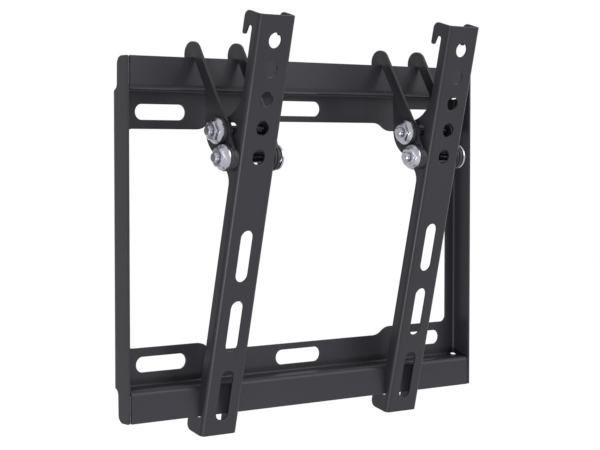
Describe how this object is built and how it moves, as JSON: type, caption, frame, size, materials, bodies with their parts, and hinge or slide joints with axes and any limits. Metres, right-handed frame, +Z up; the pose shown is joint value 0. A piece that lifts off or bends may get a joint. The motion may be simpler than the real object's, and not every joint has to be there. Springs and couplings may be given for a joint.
{
  "type": "tilting tv wall bracket",
  "caption": "Folded black steel wall plate with channel arms that hang on its top lip by hook plates, slide sideways and tilt about clamped pivot bolts.",
  "frame": {"origin": "centre of the wall plate's back face, which is the centre of the four corner slots", "axes": "+X to the right seen from the room, +Y into the wall, +Z up"},
  "size_m": [0.259, 0.071, 0.2352],
  "materials": {
    "black_steel": "fine powder coat, satin",
    "zinc": "bright zinc plating",
    "black_plastic": "matte"
  },
  "bodies": {
    "wall": {"wall_plate": "black_steel"},
    "left_hanger": {"left_arm_left_hook_plate": "black_steel", "left_arm_right_hook_plate": "black_steel", "left_arm_pivot_bolt": "zinc", "left_arm_pivot_nut": "zinc", "left_arm_pivot_washer": "black_plastic", "left_arm_pivot_left_spacer": "black_plastic", "left_arm_pivot_right_spacer": "black_plastic", "left_arm_clamp_bolt": "zinc", "left_arm_clamp_nut": "zinc", "left_arm_clamp_washer": "black_plastic", "left_arm_clamp_left_spacer": "black_plastic", "left_arm_clamp_right_spacer": "black_plastic"},
    "left_channel": {"left_arm": "black_steel"},
    "right_hanger": {"right_arm_left_hook_plate": "black_steel", "right_arm_right_hook_plate": "black_steel", "right_arm_pivot_bolt": "zinc", "right_arm_pivot_nut": "zinc", "right_arm_pivot_washer": "black_plastic", "right_arm_pivot_left_spacer": "black_plastic", "right_arm_pivot_right_spacer": "black_plastic", "right_arm_clamp_bolt": "zinc", "right_arm_clamp_nut": "zinc", "right_arm_clamp_washer": "black_plastic", "right_arm_clamp_left_spacer": "black_plastic", "right_arm_clamp_right_spacer": "black_plastic"},
    "right_channel": {"right_arm": "black_steel"}
  },
  "joints": [
    {"name": "left_slide", "type": "slide", "parent": "wall", "child": "left_hanger", "axis": [1, 0, 0], "range_m": [-0.0305, 0.032]},
    {"name": "right_slide", "type": "slide", "parent": "wall", "child": "right_hanger", "axis": [1, 0, 0], "range_m": [-0.032, 0.0305]},
    {"name": "left_tilt", "type": "hinge", "parent": "left_hanger", "child": "left_channel", "pos_m": [-0.0695, -0.0452, 0.0449], "axis": [1, 0, 0], "range_deg": [-26, 0]},
    {"name": "right_tilt", "type": "hinge", "parent": "right_hanger", "child": "right_channel", "pos_m": [0.0695, -0.0452, 0.0449], "axis": [1, 0, 0], "range_deg": [-26, 0]}
  ]
}
